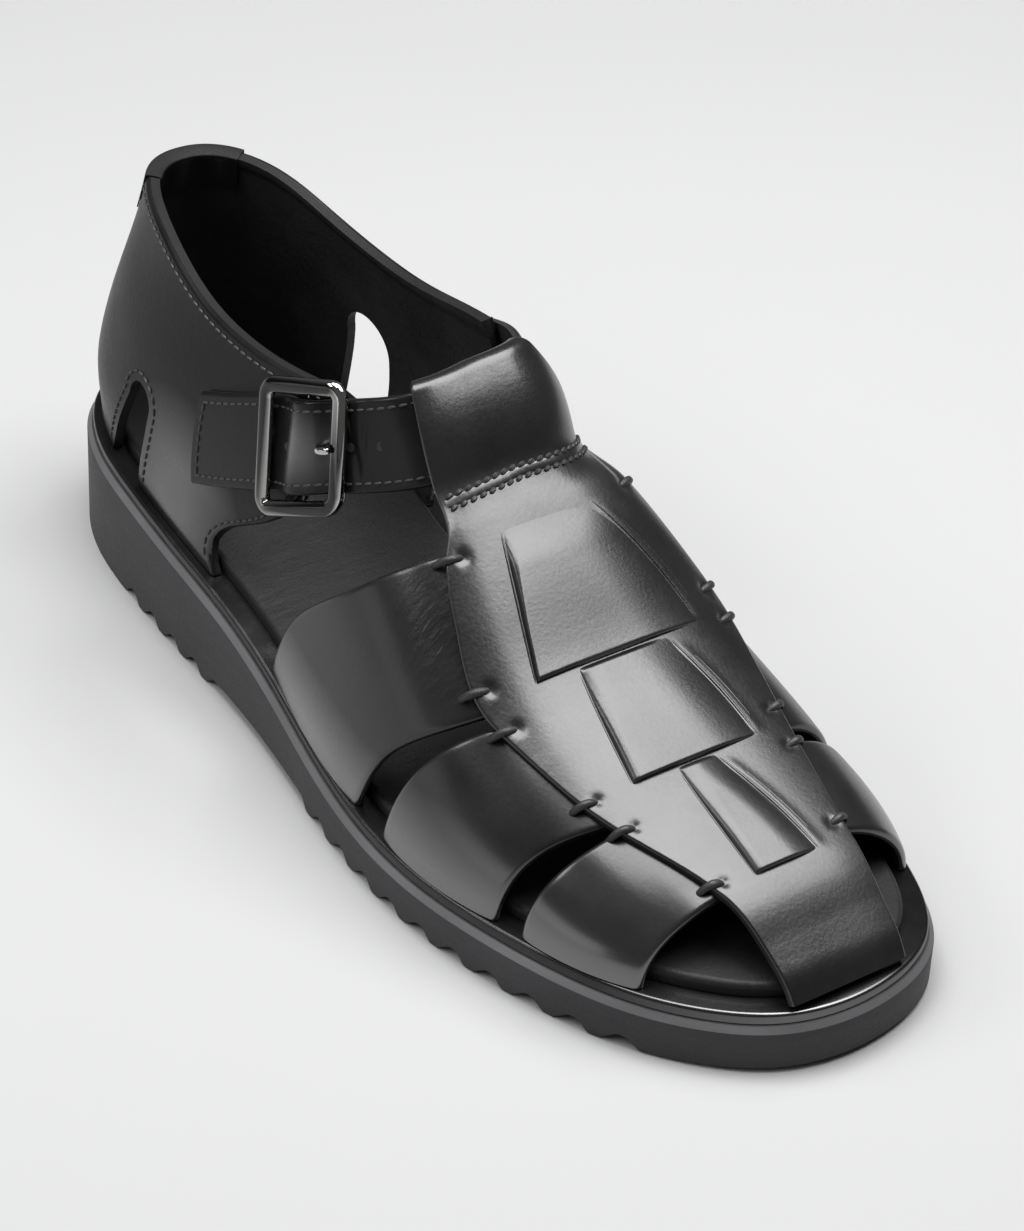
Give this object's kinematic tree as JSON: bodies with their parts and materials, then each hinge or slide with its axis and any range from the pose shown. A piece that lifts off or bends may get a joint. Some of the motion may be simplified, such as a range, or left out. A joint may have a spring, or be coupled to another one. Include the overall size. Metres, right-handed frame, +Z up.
{
  "type": "fisherman sandal",
  "caption": "Flat black leather fisherman sandal for the right foot, with woven T-bar and cross straps, closed heel, buckled ankle strap and toothed rubber sole.",
  "frame": {"origin": "on the floor under the middle of the sole's bounding box", "axes": "+X from heel to toe, +Y to the inner (medial) side, +Z up"},
  "size_m": [0.296, 0.1098, 0.1085],
  "materials": {
    "sole_rubber": "matte dark grey rubber",
    "runner_leather": "glossy black edge-painted leather",
    "insole_leather": "satin black leather",
    "upper_leather": "polished smooth black calf",
    "buckle_nickel": "polished nickel"
  },
  "bodies": {
    "root": {"outsole": "sole_rubber", "midsole": "runner_leather", "insole": "insole_leather", "upper_vamp": "upper_leather", "upper_quarter": "upper_leather", "heel_tab": "upper_leather", "ankle_strap": "upper_leather", "buckle_frame": "buckle_nickel", "buckle_prong": "buckle_nickel"}
  },
  "joints": []
}
